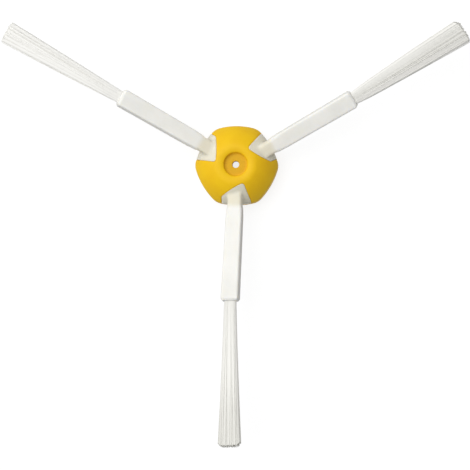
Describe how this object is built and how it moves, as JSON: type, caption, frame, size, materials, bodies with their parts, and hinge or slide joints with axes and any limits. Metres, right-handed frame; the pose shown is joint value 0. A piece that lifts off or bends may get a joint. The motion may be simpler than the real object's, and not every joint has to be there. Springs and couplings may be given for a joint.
{
  "type": "robot vacuum side brush",
  "caption": "Sweeping side brush of a robot vacuum: domed yellow hub with a sunk screw seat and square drive socket, soft white arms and fanned bristle tufts.",
  "frame": {"origin": "centre of the drive socket's mouth, on the hub's back face", "axes": "+Z along the hub's axis from the back face to the domed screw side; one arm lies along -Y"},
  "size_m": [0.1414, 0.1283, 0.0238],
  "materials": {
    "hub_plastic": "satin moulded",
    "arm_rubber": "soft matt",
    "bristle_nylon": "drawn filament, translucent white"
  },
  "bodies": {
    "root": {"hub": "hub_plastic", "soft_arm_a": "arm_rubber", "soft_arm_b": "arm_rubber", "soft_arm_c": "arm_rubber", "bristle_tuft_a": "bristle_nylon", "bristle_tuft_b": "bristle_nylon", "bristle_tuft_c": "bristle_nylon"}
  },
  "joints": []
}
